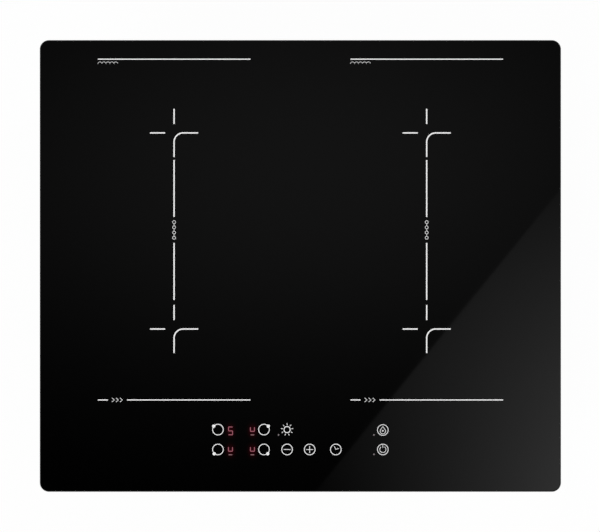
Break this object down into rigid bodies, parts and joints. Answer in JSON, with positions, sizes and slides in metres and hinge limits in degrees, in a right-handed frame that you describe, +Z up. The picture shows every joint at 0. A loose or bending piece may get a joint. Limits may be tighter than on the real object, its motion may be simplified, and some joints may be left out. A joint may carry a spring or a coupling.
{
  "type": "induction hob",
  "caption": "Built-in induction cooktop: black glass plate with flex zone marks and touch keys over a vented steel case with coils, blowers, boards, clamps and a terminal box.",
  "frame": {"origin": "middle of the cooking surface, on the top plane of the glass", "axes": "+X to the right, +Y to the back, +Z up out of the cooking surface"},
  "size_m": [0.6, 0.52, 0.056],
  "materials": {
    "black_glass": "gloss",
    "foam_seal": "matte",
    "silicone": "satin",
    "galvanised_steel": "satin",
    "zinc_screws": "satin",
    "bright_steel": "satin",
    "mill_aluminium": "satin",
    "pillar_metal": "satin",
    "former_plastic": "matte",
    "copper_wire": "satin",
    "ferrite": "matte",
    "mica": "satin",
    "blower_plastic": "matte",
    "motor_metal": "satin",
    "board_laminate": "satin",
    "chip_resin": "matte",
    "capacitor_shell": "satin",
    "tray_plastic": "matte",
    "touch_foam": "matte",
    "display_resin": "gloss",
    "terminal_plastic": "matte",
    "block_plastic": "matte"
  },
  "bodies": {
    "hob": {"base_screws": "zinc_screws", "blower_housing_left": "blower_plastic", "blower_housing_right": "blower_plastic", "blower_motor_left": "motor_metal", "blower_motor_right": "motor_metal", "board_spacers": "pillar_metal", "bottom_case": "galvanised_steel", "case_screws": "zinc_screws", "clamp_screws": "zinc_screws", "coil_ferrites_front_left": "ferrite", "coil_ferrites_front_right": "ferrite", "coil_ferrites_rear_left": "ferrite", "coil_ferrites_rear_right": "ferrite", "coil_former_front_left": "former_plastic", "coil_former_front_right": "former_plastic", "coil_former_rear_left": "former_plastic", "coil_former_rear_right": "former_plastic", "coil_plate": "mill_aluminium", "coil_screws": "zinc_screws", "coil_winding_front_left": "copper_wire", "coil_winding_front_right": "copper_wire", "coil_winding_rear_left": "copper_wire", "coil_winding_rear_right": "copper_wire", "control_board": "board_laminate", "control_tray": "tray_plastic", "digit_displays": "display_resin", "film_capacitors_left": "capacitor_shell", "film_capacitors_right": "capacitor_shell", "filter_board": "board_laminate", "filter_choke": "copper_wire", "glass_top": "black_glass", "heat_sink_left": "mill_aluminium", "heat_sink_right": "mill_aluminium", "indicator_lamps": "display_resin", "mica_sheets": "mica", "plate_pillars": "pillar_metal", "plate_screws": "zinc_screws", "power_board_left": "board_laminate", "power_board_right": "board_laminate", "power_choke_left": "copper_wire", "power_choke_right": "copper_wire", "power_transistors_left": "chip_resin", "power_transistors_right": "chip_resin", "sealing_gasket": "foam_seal", "silicone_bond": "silicone", "support_frame": "galvanised_steel", "temperature_sensors": "mill_aluminium", "terminal_block": "block_plastic", "terminal_box": "terminal_plastic", "terminal_screws": "zinc_screws", "touch_pads": "touch_foam"},
    "blower_rotor_left": {"blower_rotor_left": "blower_plastic"},
    "blower_rotor_right": {"blower_rotor_right": "blower_plastic"},
    "terminal_lid": {"terminal_lid": "terminal_plastic"},
    "worktop_clamp_front_left": {"worktop_clamp_front_left": "bright_steel"},
    "worktop_clamp_front_right": {"worktop_clamp_front_right": "bright_steel"},
    "worktop_clamp_rear_left": {"worktop_clamp_rear_left": "bright_steel"},
    "worktop_clamp_rear_right": {"worktop_clamp_rear_right": "bright_steel"}
  },
  "joints": [
    {"name": "blower_spin_left", "type": "hinge", "parent": "hob", "child": "blower_rotor_left", "pos_m": [-0.1802, 0.1762, -0.0381], "axis": [0, 0, 1], "continuous": true},
    {"name": "blower_spin_right", "type": "hinge", "parent": "hob", "child": "blower_rotor_right", "pos_m": [0.1302, 0.1762, -0.0381], "axis": [0, 0, 1], "continuous": true},
    {"name": "terminal_lid_hinge", "type": "hinge", "parent": "hob", "child": "terminal_lid", "pos_m": [0.232, 0.15767, -0.0516], "axis": [-1, 0, 0], "range_deg": [0, 95]},
    {"name": "clamp_slide_front_left", "type": "slide", "parent": "hob", "child": "worktop_clamp_front_left", "axis": [0, 0, 1], "range_m": [-0.008, 0]},
    {"name": "clamp_slide_front_right", "type": "slide", "parent": "hob", "child": "worktop_clamp_front_right", "axis": [0, 0, 1], "range_m": [-0.008, 0]},
    {"name": "clamp_slide_rear_left", "type": "slide", "parent": "hob", "child": "worktop_clamp_rear_left", "axis": [0, 0, 1], "range_m": [-0.008, 0]},
    {"name": "clamp_slide_rear_right", "type": "slide", "parent": "hob", "child": "worktop_clamp_rear_right", "axis": [0, 0, 1], "range_m": [-0.008, 0]}
  ]
}
